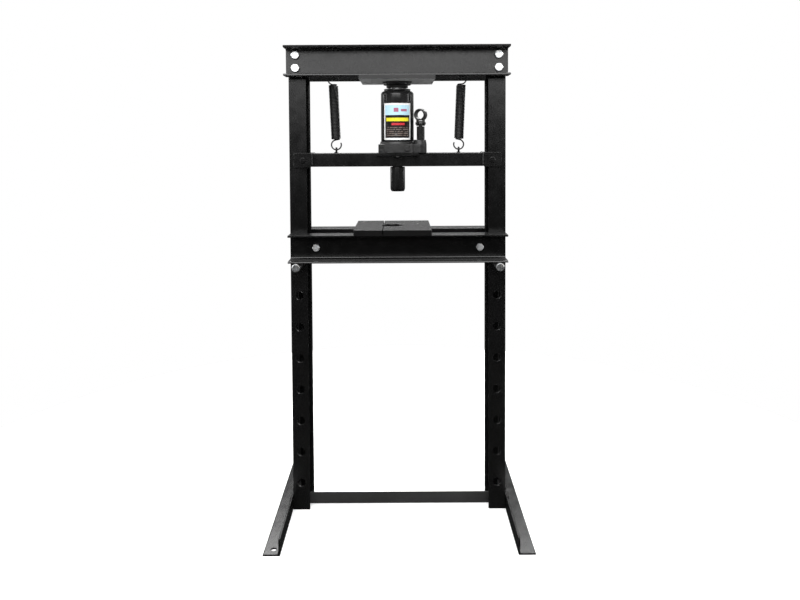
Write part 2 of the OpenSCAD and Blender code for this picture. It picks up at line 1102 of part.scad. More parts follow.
// Plate with broken corners from x0 to x1, relieved by the shared round opening
module press_plate(x0, x1) {
  d = plate_depth / 2;
  c = plate_corner;
  translate([0, 0, bed_top])
    difference() {
      linear_extrude(plate_t)
        polygon([
          [x0 + c, -d], [x1 - c, -d], [x1, -d + c], [x1, d - c],
          [x1 - c, d], [x0 + c, d], [x0, d - c], [x0, -d + c]
        ]);
      translate([plate_hole_x, 0, -eps])
        cylinder(r = plate_hole_r, h = plate_t + 2 * eps);
    }
}

module left_plate() {
  color("#4c4c4e")
    press_plate(plate_split_x - left_plate_w, plate_split_x);
}

module right_plate() {
  color("#4c4c4e")
    press_plate(plate_split_x + plate_gap, plate_split_x + plate_gap + right_plate_w);
}

left_post();
right_post();
crown_front();
crown_rear();
crown_bolts();
crown_nuts();
bolster_plate();
ram_cup();
spring_hangers();
left_spring();
right_spring();
left_foot();
right_foot();
lower_brace();
foot_bolts();
foot_nuts();
jack_ram();
piston_cup();
extension_screw();
yoke_channel();
yoke_ends();
guide_plates();
guide_screws();
spring_eyes();
eye_nuts();
press_head();
jack_seat();
jack_bolts();
jack_base();
jack_tank();
jack_cylinder();
gland_nut();
ram_seal();
pump_cylinder();
pump_seal();
fulcrum_link();
fulcrum_pins();
filler_plug();
tank_label();
release_valve();
pump_plunger();
handle_socket();
plunger_pin();
bed_front();
bed_rear();
bed_spacers();
bed_bolts();
bed_nuts();
left_bed_pin();
right_bed_pin();
left_plate();
right_plate();
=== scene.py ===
"""Hydraulic shop press: materials, detail pieces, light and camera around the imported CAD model.

Lengths are in metres in the part's own frame: origin on the floor, +X right, -Y front, +Z up.
"""

import itertools
import math
import random

import bmesh
import bpy
from mathutils import Matrix, Vector


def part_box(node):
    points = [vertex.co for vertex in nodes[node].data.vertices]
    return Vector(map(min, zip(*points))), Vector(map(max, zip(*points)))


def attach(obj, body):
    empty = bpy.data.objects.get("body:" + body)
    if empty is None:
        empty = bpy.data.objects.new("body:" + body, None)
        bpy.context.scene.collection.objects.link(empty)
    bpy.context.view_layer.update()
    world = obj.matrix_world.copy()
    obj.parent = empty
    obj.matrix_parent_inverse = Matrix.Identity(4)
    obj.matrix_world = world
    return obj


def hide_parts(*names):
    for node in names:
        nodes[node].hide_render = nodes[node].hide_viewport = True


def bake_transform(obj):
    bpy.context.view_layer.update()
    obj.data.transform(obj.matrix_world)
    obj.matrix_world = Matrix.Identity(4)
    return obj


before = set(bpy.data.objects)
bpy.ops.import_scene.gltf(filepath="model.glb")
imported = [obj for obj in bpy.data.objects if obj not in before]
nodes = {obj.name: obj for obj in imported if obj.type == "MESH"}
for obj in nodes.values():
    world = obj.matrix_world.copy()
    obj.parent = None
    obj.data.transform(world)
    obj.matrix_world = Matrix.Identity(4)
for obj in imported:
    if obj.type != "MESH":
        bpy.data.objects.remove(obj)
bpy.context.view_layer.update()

X_AXIS = Vector((1, 0, 0))
Y_AXIS = Vector((0, 1, 0))
Z_AXIS = Vector((0, 0, 1))

# Return springs: centres of the hooks, ends of the coil, and radii of hooks, coil and wire
SPRING_LOW_X = 0.156
SPRING_TOP_X = 0.163
SPRING_HOOK_LOW_Z = 0.9285
SPRING_HOOK_TOP_Z = 1.094
COIL_LOW_Z = 0.94325
COIL_TOP_Z = 1.07925
HOOK_R = 0.0125
COIL_R = 0.0105
WIRE_R = 0.00175

# Whole turns of the coil, then in degrees the angles where it starts and ends, and for each hook
# where it starts and how far it turns
COIL_TURNS = 37
COIL_SPAN = (60, 300)
LOWER_HOOK = (385, -285)
UPPER_HOOK = (275, -285)

# Jack: radii of the tank, its neck, the gland nut's thread and the gland nut's bore, then the
# tank's wall and the height of its shoulder
TANK_R = 0.0415
NECK_R = 0.0231
GLAND_THREAD_R = 0.0229
GLAND_BORE_R = 0.01805
TANK_WALL = 0.003
SHOULDER_H = 0.0085

# Radii of the ring under the bolster, of the extension screw and of the press head's neck
CUP_BORE_R = 0.029
SCREW_R = 0.0108
HEAD_NECK_R = 0.013

# Thread pitches
M12_PITCH = 0.00175
M10_PITCH = 0.0015
M8_PITCH = 0.00125

# How far a thread runs up into its bolt's head
THREAD_OVERLAP = 0.0002

# Weld beads: radii, and the distance between two points of a path
WIDE_BEAD = 0.0032
MIDDLE_BEAD = 0.0026
NARROW_BEAD = 0.0022
HANGER_BEAD = 0.0018
BEAD_STEP = 0.0006

# Lower brace: its front face, and how far back and up its beads run
BRACE_FRONT = -0.015
BRACE_DEPTH = 0.032
BRACE_H = 0.031

# Rounding of rolled and sawn edges
EDGE_ROUND = 0.0008

# The band that most values of a noise texture lie in
MID = (0.3, 0.7)

# Label fields: (from, to) round the tank, (from, to) up from the label's lower edge, and a colour
LABEL_FIELDS = [
    ((-0.0335, 0.0335), (0.005, 0.0620), (0.006, 0.004, 0.004, 1)),
    ((-0.0335, 0.0335), (0.0620, 0.0868), (0.50, 0.74, 0.86, 1)),
    ((-0.0300, 0.0300), (0.0466, 0.0554), (0.80, 0.72, 0.03, 1)),
    ((-0.0150, 0.0185), (0.0368, 0.0424), (0.55, 0.035, 0.045, 1)),
    ((-0.0090, 0.0030), (0.0700, 0.0800), (0.42, 0.12, 0.20, 1)),
    ((0.0090, 0.0250), (0.0710, 0.0770), (0.42, 0.14, 0.22, 1)),
]

# Block of broken bars on the label: its field, and the pitch, rows and colour of the bars
BAR_FIELD = ((-0.0290, 0.0300), (0.0090, 0.0335))
BAR_PITCH = 0.0049
BAR_ROWS = (0.0012, 0.0036)
BAR_TINT = (0.16, 0.125, 0.11, 1)
DASH_SCALE = 260.0

# Camera: place, angles in degrees, lens and sensor in millimetres, and picture shift
CAMERA_PLACE = (0.0067, -1.8396, 0.9395)
CAMERA_PITCH = 2.51
CAMERA_ROLL = -0.30
CAMERA_YAW = -0.02
CAMERA_LENS = 32.4
CAMERA_SENSOR = 36.0
CAMERA_SHIFT = (-0.00066, -0.1603)
CAMERA_CLIP = 50.0

# Lights: name, place, target, width, height and power in watts
LIGHTS = [
    ("low strip", (-0.5, -4.0, 1.78), (0.0, 0.0, 1.1), 4.6, 0.7, 27.0),
    ("key softbox", (-0.8, -3.6, 3.3), (0.0, 0.0, 1.0), 5.0, 2.9, 215.0),
    ("overhead", (0.0, -0.2, 3.4), (0.0, 0.0, 0.0), 3.0, 3.0, 50.0),
    ("left softbox", (-3.4, 0.5, 1.9), (0.0, 0.0, 0.7), 2.0, 2.6, 85.0),
    ("right softbox", (3.4, 0.3, 1.9), (0.0, 0.0, 0.7), 2.0, 2.6, 85.0),
    ("rear softbox", (0.5, 3.3, 3.3), (0.0, 0.0, 0.7), 4.2, 1.9, 190.0),
]

# Floor disc: radius, depth below the feet and glow
FLOOR_R = 1.4
FLOOR_DROP = 0.0005
FLOOR_GLOW = 0.45

# Every weld bead draws its ripples from the next seed
bead_seeds = itertools.count(1)


# ------------------------------------------------------------------ node trees


class Shader:
    """A Principled material and short calls for the nodes that feed it."""

    def __init__(self, name, **constants):
        self.material = bpy.data.materials.new(name)
        self.material.use_nodes = True
        self.tree = self.material.node_tree
        self.tree.nodes.clear()
        output = self.tree.nodes.new("ShaderNodeOutputMaterial")
        self.principled = self.tree.nodes.new("ShaderNodeBsdfPrincipled")
        self.tree.links.new(self.principled.outputs[0], output.inputs[0])
        self.coords = self.tree.nodes.new("ShaderNodeTexCoord").outputs["Object"]
        for key, value in constants.items():
            self.principled.inputs[key.replace("_", " ")].default_value = value

    def feed(self, socket, value):
        """Links an output to an input, or sets the input to a number, colour or vector."""
        if isinstance(value, bpy.types.NodeSocket):
            self.tree.links.new(value, socket)
        else:
            socket.default_value = value

    def set(self, name, value):
        """Feeds one of the Principled's own sockets."""
        self.feed(self.principled.inputs[name], value)

    def math(self, operation, a, b=0.0, c=0.0):
        """One operation on numbers or outputs."""
        node = self.tree.nodes.new("ShaderNodeMath")
        node.operation = operation
        for socket, value in zip(node.inputs, (a, b, c)):
            self.feed(socket, value)
        return node.outputs[0]

    def scaled(self, scale):
        """Object coordinates times a vector."""
        node = self.tree.nodes.new("ShaderNodeVectorMath")
        node.operation = "MULTIPLY"
        self.feed(node.inputs[0], self.coords)
        node.inputs[1].default_value = scale
        return node.outputs[0]

    def noise(self, scale, detail=3.0, vector=None):
        """Noise with this many waves in a metre."""
        node = self.tree.nodes.new("ShaderNodeTexNoise")
        self.feed(node.inputs["Vector"], vector or self.coords)
        node.inputs["Scale"].default_value = scale
        node.inputs["Detail"].default_value = detail
        return node.outputs[0]

    def remap(self, value, low, high, to_low=0.0, to_high=1.0):
        """Stretches low..high to to_low..to_high and clamps it."""
        node = self.tree.nodes.new("ShaderNodeMapRange")
        for socket, number in zip(node.inputs, (value, low, high, to_low, to_high)):
            self.feed(socket, number)
        return node.outputs[0]

    def mix(self, factor, a, b):
        """Colour a at factor 0, b at factor 1."""
        node = self.tree.nodes.new("ShaderNodeMix")
        node.data_type = "RGBA"
        self.feed(node.inputs[0], factor)
        self.feed(node.inputs[6], a)
        self.feed(node.inputs[7], b)
        return node.outputs[2]

    def bump(self, height, distance, normal=None):
        """The normal bent by a height map whose 0..1 spans a distance."""
        node = self.tree.nodes.new("ShaderNodeBump")
        node.inputs["Distance"].default_value = distance
        self.feed(node.inputs["Height"], height)
        if normal:
            self.feed(node.inputs["Normal"], normal)
        return node.outputs[0]

    def soft_normal(self, radius):
        """The surface normal with its edges rounded over a radius."""
        node = self.tree.nodes.new("ShaderNodeBevel")
        node.samples = 4
        node.inputs["Radius"].default_value = radius
        return node.outputs[0]

    def edges(self, radius, low=0.02, high=0.18):
        """1 on outer edges, where the rounded normal leaves the true one, and 0 on flat faces."""
        geometry = self.tree.nodes.new("ShaderNodeNewGeometry")
        dot = self.tree.nodes.new("ShaderNodeVectorMath")
        dot.operation = "DOT_PRODUCT"
        self.feed(dot.inputs[0], self.soft_normal(radius))
        self.feed(dot.inputs[1], geometry.outputs["Normal"])
        return self.remap(self.math("SUBTRACT", 1.0, dot.outputs["Value"]), low, high)

    def facing_down(self):
        """1 on faces that look straight down."""
        split = self.tree.nodes.new("ShaderNodeSeparateXYZ")
        geometry = self.tree.nodes.new("ShaderNodeNewGeometry")
        self.feed(split.inputs[0], geometry.outputs["True Normal"])
        return self.remap(split.outputs["Z"], -0.95, -0.75, 1.0, 0.0)

    def window(self, value, low, high):
        """1 where low < value < high."""
        return self.math("COMPARE", value, (low + high) / 2, (high - low) / 2)


def grey(value, warmth=0.0):
    """A nearly neutral linear colour."""
    return (value * (1 + warmth), value, value * (1 - warmth), 1.0)


# ------------------------------------------------------------------- materials


def powder_coat(name, base, roughness, peel=0.00005, edge_highlight_strength=0.35, level=0.5, vary=0.6,
                under=None):
    """Black powder coat: orange peel, faint mottling, and a painted highlight of lighter grey
    along the edges.

    vary scales how uneven the gloss is. under is the tone of faces that look down, painted lighter
    than the rest as painted light.
    """
    s = Shader(name, Specular_IOR_Level=level)
    mottle = s.remap(s.noise(11, 5), *MID)
    paint = s.mix(mottle, grey(base * 0.78), grey(base * 1.25))
    dust = s.remap(s.noise(160, 6), 0.56, 0.8, 0.0, 0.35)
    paint = s.mix(dust, paint, grey(base * 2.2, 0.04))
    # Faces that look down get a lighter tone: painted light on the underside.
    if under:
        paint = s.mix(s.facing_down(), paint, s.mix(mottle, grey(under * 0.9), grey(under * 1.1)))
    # Lighter grey on the edges, broken up by noise: a painted edge highlight. The edges are also a
    # little glossier.
    painted_edge_highlight = s.math("MULTIPLY", s.edges(0.0009), s.remap(s.noise(75, 6), 0.52, 0.66, 0.0, edge_highlight_strength))
    s.set("Base Color", s.mix(painted_edge_highlight, paint, grey(0.22)))
    gloss = s.remap(s.noise(38, 4), 0.25, 0.75,
                    roughness - 0.06 * vary, roughness + 0.08 * vary)
    s.set("Roughness", s.math("SUBTRACT", gloss, s.math("MULTIPLY", painted_edge_highlight, 0.1)))
    waves = s.bump(s.noise(26, 2), 0.00025 * vary, s.soft_normal(0.0006))
    s.set("Normal", s.bump(s.noise(620, 2), peel, waves))
    return s.material


def cast_enamel(name, base, roughness):
    """Enamel over sand-cast iron: lumpy and pitted, with painted shade darkening the pits."""
    s = Shader(name, Specular_IOR_Level=0.5)
    mottle = s.remap(s.noise(45, 6), *MID)
    pits_with_painted_shade = s.remap(s.noise(330, 4), 0.3, 0.46, 1.0, 0.0)
    paint = s.mix(mottle, grey(base * 0.7), grey(base * 1.5))
    # The pits are coloured darker: painted shade in the hollows that the bump carves.
    s.set("Base Color", s.mix(pits_with_painted_shade, paint, grey(base * 0.4)))
    s.set("Roughness", s.remap(s.noise(120, 3), *MID, roughness - 0.08, roughness + 0.1))
    lumps = s.bump(s.noise(95, 4), 0.0007)
    s.set("Normal", s.bump(s.math("SUBTRACT", s.noise(420, 3), pits_with_painted_shade), 0.00022, lumps))
    return s.material


def gloss_enamel(name, base, roughness):
    """Sprayed gloss enamel with a slight peel and fine dust."""
    s = Shader(name, Specular_IOR_Level=0.45, Coat_Weight=0.12, Coat_Roughness=0.08)
    tone = s.remap(s.noise(20, 4), *MID)
    paint = s.mix(tone, grey(base * 0.8), grey(base * 1.3))
    # Lighter grey on the edges, broken up by noise: a painted edge highlight.
    painted_edge_highlight = s.math("MULTIPLY", s.edges(0.0007), s.remap(s.noise(90, 5), 0.5, 0.66, 0.0, 0.4))
    s.set("Base Color", s.mix(painted_edge_highlight, paint, grey(0.2)))
    s.set("Roughness", s.remap(s.noise(60, 4), *MID, roughness - 0.04, roughness + 0.08))
    waves = s.bump(s.noise(55, 3), 0.0004, s.soft_normal(0.0005))
    s.set("Normal", s.bump(s.noise(900, 2), 0.00003, waves))
    return s.material


def zinc(name, base, roughness, dull=0.25):
    """Zinc plate with cloudy chromate tints and dull smudges."""
    s = Shader(name, Metallic=1.0)
    cloud = s.remap(s.noise(140, 5), 0.32, 0.68)
    bright = s.mix(cloud, (base, base * 0.985, base * 0.95, 1), (base * 0.9, base * 0.95, base, 1))
    smudge = s.remap(s.noise(320, 6), 0.52, 0.72, 0.0, dull)
    s.set("Base Color", s.mix(smudge, bright, grey(base * 0.35, 0.05)))
    s.set("Roughness", s.remap(s.noise(260, 4), *MID, roughness - 0.08, roughness + 0.14))
    s.set("Normal", s.bump(s.noise(1500, 2), 0.00003, s.soft_normal(0.0004)))
    return s.material


def turned_steel(name, base, roughness, oil=0.2):
    """Turned or drawn steel: fine rings round the vertical axis and an oily film."""
    s = Shader(name, Metallic=1.0)
    rings = s.noise(1.0, 2, s.scaled((8.0, 8.0, 1400.0)))
    film = s.remap(s.noise(70, 5), 0.45, 0.7, 0.0, oil)
    s.set("Base Color", s.mix(film, grey(base), grey(base * 0.4, 0.12)))
    s.set("Roughness", s.remap(rings, *MID, roughness - 0.05, roughness + 0.12))
    s.set("Normal", s.bump(rings, 0.00003, s.soft_normal(0.0003)))
    return s.material


def spring_wire(name):
    """Oil-blacked wire with bright rubs where the coils meet."""
    s = Shader(name, Specular_IOR_Level=0.6)
    rub = s.remap(s.noise(240, 5), 0.56, 0.72, 0.0, 0.5)
    s.set("Base Color", s.mix(rub, grey(0.014), grey(0.07, 0.03)))
    s.set("Roughness", s.remap(s.noise(150, 3), *MID, 0.3, 0.5))
    s.set("Metallic", s.remap(rub, 0.0, 0.5, 0.2, 0.6))
    s.set("Normal", s.bump(s.noise(1100, 2), 0.00004))
    return s.material


def rubber(name):
    """Dull black rubber with a fine grain."""
    s = Shader(name, Specular_IOR_Level=0.35)
    s.set("Base Color", s.mix(s.remap(s.noise(200, 4), 0.35, 0.7), grey(0.012), grey(0.03)))
    s.set("Roughness", s.remap(s.noise(90, 3), *MID, 0.6, 0.8))
    s.set("Normal", s.bump(s.noise(1300, 3), 0.00006))
    return s.material


def weld_metal(name):
    """Weld beads under the paint: glossier, with a few bare specks of spatter."""
    s = Shader(name, Specular_IOR_Level=0.5)
    speck = s.remap(s.noise(500, 4), 0.6, 0.7, 0.0, 0.4)
    s.set("Base Color", s.mix(speck, grey(0.016), grey(0.12)))
    s.set("Roughness", s.remap(s.noise(180, 3), *MID, 0.32, 0.5))
    s.set("Normal", s.bump(s.noise(700, 3), 0.00015))
    return s.material


def label_print(name, radius, base_z):
    """Printed film: plain colour fields and bars without any lettering."""
    s = Shader(name, Specular_IOR_Level=0.35)
    split = s.tree.nodes.new("ShaderNodeSeparateXYZ")
    s.feed(split.inputs[0], s.coords)
    x, y, z = split.outputs
    turn = s.math("ARCTAN2", x, s.math("MULTIPLY", y, -1.0))
    across = s.math("MULTIPLY", turn, radius)
    up = s.math("SUBTRACT", z, base_z)

    def field(columns, rows):
        """1 inside one rectangle of the label."""
        return s.math("MULTIPLY", s.window(across, *columns), s.window(up, *rows))

    tone = s.remap(s.noise(300, 4), 0.0, 1.0, 0.92, 1.05)
    color = s.mix(tone, grey(0.86), grey(0.92))
    for columns, rows, tint in LABEL_FIELDS:
        color = s.mix(field(columns, rows), color, tint)
    row = s.math("MODULO", s.math("SUBTRACT", up, BAR_FIELD[1][0]), BAR_PITCH)
    dash_scale = (DASH_SCALE, DASH_SCALE, 1.0 / BAR_PITCH)
    dashes = s.remap(s.noise(1.0, 3, s.scaled(dash_scale)), 0.42, 0.5)
    bars = s.math("MULTIPLY", s.window(row, *BAR_ROWS), dashes)
    color = s.mix(s.math("MULTIPLY", bars, field(*BAR_FIELD)), color, BAR_TINT)
    scuff = s.remap(s.noise(130, 7), 0.6, 0.78, 0.0, 0.3)
    s.set("Base Color", s.mix(scuff, color, grey(0.35)))
    s.set("Roughness", s.remap(s.noise(80, 3), *MID, 0.24, 0.42))
    s.set("Normal", s.bump(s.noise(90, 3), 0.00012))
    return s.material


def dress(material, *names):
    """Gives CAD nodes one material."""
    for name in names:
        mesh = nodes[name].data
        mesh.materials.clear()
        mesh.materials.append(material)


# ----------------------------------------------------------------- mesh pieces


def add_mesh(name, bm, material, body=None, smooth=True):
    """Turns a bmesh into an object with a material that rides on a body."""
    bmesh.ops.recalc_face_normals(bm, faces=bm.faces)
    mesh = bpy.data.meshes.new(name)
    bm.to_mesh(mesh)
    bm.free()
    mesh.materials.append(material)
    for polygon in mesh.polygons:
        polygon.use_smooth = smooth
    obj = bpy.data.objects.new(name, mesh)
    bpy.context.scene.collection.objects.link(obj)
    if body:
        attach(obj, body)
    return obj


def bridge(bm, first, second):
    """Quads between two closed rings of vertices."""
    count = len(first)
    for i in range(count):
        j = (i + 1) % count
        bm.faces.new((first[i], first[j], second[j], second[i]))


def add_tube(bm, points, radius, sides=10):
    """Sweeps a circle along points; radius is a number or one number for each point."""
    radii = radius if isinstance(radius, list) else [radius] * len(points)
    side = None
    rings = []
    for i, point in enumerate(points):
        ahead = points[min(i + 1, len(points) - 1)] - points[max(i - 1, 0)]
        tangent = ahead.normalized()
        if side is None:
            side = tangent.orthogonal().normalized()
        side = (side - tangent * side.dot(tangent)).normalized()
        other = tangent.cross(side)
        rings.append([
            bm.verts.new(point + radii[i] * (math.cos(a) * side + math.sin(a) * other))
            for a in (2 * math.pi * k / sides for k in range(sides))
        ])
    for first, second in zip(rings, rings[1:]):
        bridge(bm, first, second)
    bm.faces.new(rings[0])
    bm.faces.new(rings[-1])


def add_lathe(bm, profile, segments=96, loop=False, knurl=None):
    """Turns (radius, height) points round Z. A profile that ends on the axis closes there.

    loop joins the last point to the first. knurl is (low, high, depth, count) of a ribbed band.
    """

    def ribbed(radius, height, angle):
        """The radius less the groove of a ribbed band."""
        if knurl and knurl[0] < height < knurl[1]:
            return radius - knurl[2] * (0.5 + 0.5 * math.cos(knurl[3] * angle))
        return radius

    rings = []
    for radius, height in profile:
        if radius < 1e-7:
            rings.append([bm.verts.new((0, 0, height))])
            continue
        ring = []
        for a in (2 * math.pi * k / segments for k in range(segments)):
            r = ribbed(radius, height, a)
            ring.append(bm.verts.new((r * math.cos(a), r * math.sin(a), height)))
        rings.append(ring)
    if loop:
        rings.append(rings[0])
    for first, second in zip(rings, rings[1:]):
        if len(first) == 1 or len(second) == 1:
            tip, ring = (first, second) if len(first) == 1 else (second, first)
            for i in range(segments):
                bm.faces.new((tip[0], ring[i], ring[(i + 1) % segments]))
        else:
            bridge(bm, first, second)


def rounded(corners, radius, steps=5):
    """Rounds the inner corners of an open (radius, height) profile."""
    points = [Vector(corners[0])]
    for before, corner, after in zip(corners, corners[1:], corners[2:]):
        before, corner, after = Vector(before), Vector(corner), Vector(after)
        reach = min(radius, (before - corner).length / 2.2, (after - corner).length / 2.2)
        start = corner + (before - corner).normalized() * reach
        end = corner + (after - corner).normalized() * reach
        for i in range(steps + 1):
            t = i / steps
            points.append(start * (1 - t) ** 2 + corner * 2 * t * (1 - t) + end * t * t)
    points.append(Vector(corners[-1]))
    return points


def closed(corners, radius, steps=4):
    """Rounds every corner of a closed (radius, height) profile."""
    loop = [corners[-1], *corners, corners[0]]
    points = []
    for before, corner, after in zip(loop, loop[1:], loop[2:]):
        points += rounded((before, corner, after), radius, steps)[1:-1]
    return points


def add_hex(bm, matrix, flats, bottom, top, bore=0.0, both=False, segments=72):
    """Hexagon between two heights with a turned chamfer on its outer end, or on both."""
    chamfer = flats * 0.075
    face_ratio = 0.96
    rows = 5

    def ring(height, limit):
        """Hexagon at a height, its corners cut back to a circle."""
        points = []
        for k in range(segments):
            a = 2 * math.pi * k / segments
            wedge = (a + math.pi / 6) % (math.pi / 3) - math.pi / 6
            r = min(flats / 2 / math.cos(wedge), limit)
            place = Vector((r * math.cos(a), r * math.sin(a), height))
            points.append(bm.verts.new(matrix @ place))
        return points

    corner = flats / 2 / math.cos(math.pi / 6)
    flat = flats / 2 * face_ratio
    steps = [(i / rows, flat + (corner - flat) * (1 - i / rows)) for i in range(rows + 1)]
    upper = [(top - chamfer * (1 - t), limit) for t, limit in steps]
    lower = [(bottom + chamfer * (1 - t), limit) for t, limit in reversed(steps)]
    heights = (lower if both else [(bottom, corner)]) + upper
    rings = [ring(height, limit) for height, limit in heights]
    for first, second in zip(rings, rings[1:]):
        bridge(bm, first, second)
    if bore:
        inner = [
            [bm.verts.new(matrix @ Vector((bore * math.cos(a), bore * math.sin(a), height)))
             for a in (2 * math.pi * k / segments for k in range(segments))]
            for height in (bottom, top)
        ]
        bridge(bm, rings[0], inner[0])
        bridge(bm, inner[0], inner[1])
        bridge(bm, inner[1], rings[-1])
    else:
        bm.faces.new(rings[0])
        bm.faces.new(rings[-1])


def add_thread(bm, matrix, radius, bottom, top, pitch, segments=28):
    """Threaded rod: a helical ridge on a cylinder with chamfered ends."""
    depth = pitch * 0.54
    rows = max(4, int((top - bottom) / pitch * 6))
    rings = []
    for row in range(rows + 1):
        height = bottom + (top - bottom) * row / rows
        taper = min(height - bottom, top - height) / pitch
        points = []
        for k in range(segments):
            a = 2 * math.pi * k / segments
            phase = ((height - bottom) / pitch - k / segments) % 1.0
            ridge = 1 - abs(2 * phase - 1)
            r = radius - depth * (1 - min(ridge * 1.5, 1.0, taper + 0.35))
            place = Vector((r * math.cos(a), r * math.sin(a), height))
            points.append(bm.verts.new(matrix @ place))
        rings.append(points)
    for first, second in zip(rings, rings[1:]):
        bridge(bm, first, second)
    bm.faces.new(rings[0])
    bm.faces.new(rings[-1])


def facing(point, direction):
    """Matrix that puts +Z of a piece along direction at a point."""
    return Matrix.Translation(point) @ Z_AXIS.rotation_difference(direction).to_matrix().to_4x4()


def islands(node):
    """Corner points of each separate solid in a CAD node."""
    bm = bmesh.new()
    bm.from_mesh(nodes[node].data)
    bmesh.ops.remove_doubles(bm, verts=bm.verts, dist=1e-6)
    waiting = set(bm.verts)
    groups = []
    while waiting:
        front = [waiting.pop()]
        group = []
        while front:
            vert = front.pop()
            group.append(vert.co.copy())
            for edge in vert.link_edges:
                other = edge.other_vert(vert)
                if other in waiting:
                    waiting.remove(other)
                    front.append(other)
        groups.append(group)
    bm.free()
    return sorted(groups, key=lambda points: tuple(round(c, 5) for c in points_box(points)[0]))


def points_box(points):
    """Lowest and highest corner of a set of points."""
    return (Vector(min(p[i] for p in points) for i in range(3)),
            Vector(max(p[i] for p in points) for i in range(3)))


def hex_frame(points, centre, direction):
    """Matrix of a hexagon whose flats match the CAD solid's, and its size across the flats."""
    matrix = facing(centre, direction)
    local = [matrix.inverted() @ p for p in points]
    corner = max(local, key=lambda p: (round(math.hypot(p.x, p.y), 6), p.x, p.y))
    turn = math.atan2(corner.y, corner.x) - math.pi / 6
    flats = 2 * math.hypot(corner.x, corner.y) * math.cos(math.pi / 6)
    return matrix @ Matrix.Rotation(turn, 4, "Z"), flats


def add_bolts(node, axis, pitch, material, body):
    """Hex bolts with chamfered heads and real threads in place of a node's plain ones."""
    bm = bmesh.new()
    for points in islands(node):
        low, high = points_box(points)
        middle = (low + high) / 2
        radial = [(p - middle) - axis * (p - middle).dot(axis) for p in points]
        widest = max(r.length for r in radial)
        heights = [(p - middle).dot(axis) for p in points]
        head = [h for h, r in zip(heights, radial) if r.length > 0.8 * widest]
        shank = max(r.length for r in radial if r.length < 0.7 * widest)
        outward = 1 if sum(head) > 0 else -1
        seat = min(h * outward for h in head)
        top = max(h * outward for h in head)
        foot = min(h * outward for h in heights)
        matrix, flats = hex_frame(points, middle + axis * outward * seat, axis * outward)
        add_hex(bm, matrix, flats, 0.0, top - seat)
        add_thread(bm, matrix, shank, foot - seat, THREAD_OVERLAP, pitch)
    obj = add_mesh(node + ".threaded", bm, material, body, smooth=False)
    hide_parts(node)


def add_nuts(node, axis, material, body):
    """Hex nuts chamfered on both faces."""
    bm = bmesh.new()
    for points in islands(node):
        low, high = points_box(points)
        middle = (low + high) / 2
        matrix, flats = hex_frame(points, middle, axis)
        bore = min(math.hypot(q.x, q.y) for q in (matrix.inverted() @ p for p in points))
        half = (high - low).dot(axis) / 2
        add_hex(bm, matrix, flats, -half, half, bore=bore, both=True)
    obj = add_mesh(node + ".chamfered", bm, material, body, smooth=False)
    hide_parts(node)


def straight(start, end):
    """Points on a line."""
    start, end = Vector(start), Vector(end)
    count = max(2, int((end - start).length / BEAD_STEP))
    return [start.lerp(end, i / count) for i in range(count + 1)]


def circle(centre, radius):
    """Points round a vertical axis."""
    count = max(8, int(radius * 2 * math.pi / BEAD_STEP))
    return [
        Vector(centre) + radius * Vector((math.cos(a), math.sin(a), 0))
        for a in (2 * math.pi * i / count for i in range(count + 1))
    ]


def add_bead(bm, path, radius, pitch=0.0026):
    """A rippled weld bead that swells and wanders a little along its path."""
    draw = random.Random(next(bead_seeds))
    along = 0.0
    swell = 0.0
    points = []
    radii = []
    for i, point in enumerate(path):
        if i:
            along += (point - path[i - 1]).length
        swell += (draw.uniform(-0.1, 0.1) - swell) * 0.12
        ripple = abs(math.sin(math.pi * along / pitch)) - 0.5
        ends = min(1.0, 0.45 + 0.1 * min(i, len(path) - 1 - i))
        radii.append(radius * (1 + 0.2 * ripple + swell) * ends)
        points.append(point + Vector([draw.uniform(-0.03, 0.03) * radius for _ in range(3)]))
    add_tube(bm, points, radii, sides=12)


def bezier(points, count=10):
    """Points along one cubic curve, without its two ends."""
    a, b, c, d = points
    return [
        a * (1 - t) ** 3 + b * 3 * t * (1 - t) ** 2 + c * 3 * t * t * (1 - t) + d * t ** 3
        for t in (i / count for i in range(1, count))
    ]


def round_edges(width, *names):
    """Rounds the sharp edges of rolled and sawn steel in the geometry itself."""
    for name in names:
        obj = nodes[name]
        weld_points = obj.modifiers.new("weld points", "WELD")
        weld_points.merge_threshold = 1e-6
        dissolve = obj.modifiers.new("dissolve flats", "DECIMATE")
        dissolve.decimate_type = "DISSOLVE"
        dissolve.angle_limit = math.radians(0.5)
        bevel = obj.modifiers.new("round edges", "BEVEL")
        bevel.width = width
        bevel.segments = 2
        bevel.limit_method = "ANGLE"
        bevel.angle_limit = math.radians(35)
        bevel.harden_normals = True


def cast_copy(node, name, material, body, voxel, smooth):
    """A copy of a CAD node with its edges melted round, as a casting has."""
    source = nodes[node]
    obj = bpy.data.objects.new(name, source.data.copy())
    bpy.context.scene.collection.objects.link(obj)
    remesh = obj.modifiers.new("remesh", "REMESH")
    remesh.mode = "VOXEL"
    remesh.voxel_size = voxel
    soften = obj.modifiers.new("soften", "SMOOTH")
    soften.iterations = smooth
    soften.factor = 0.5
    evaluated = obj.evaluated_get(bpy.context.evaluated_depsgraph_get())
    mesh = bpy.data.meshes.new_from_object(evaluated)
    obj.modifiers.clear()
    obj.data = mesh
    mesh.materials.clear()
    mesh.materials.append(material)
    for polygon in mesh.polygons:
        polygon.use_smooth = True
    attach(obj, body)
    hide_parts(node)


# --------------------------------------------------------------------- springs


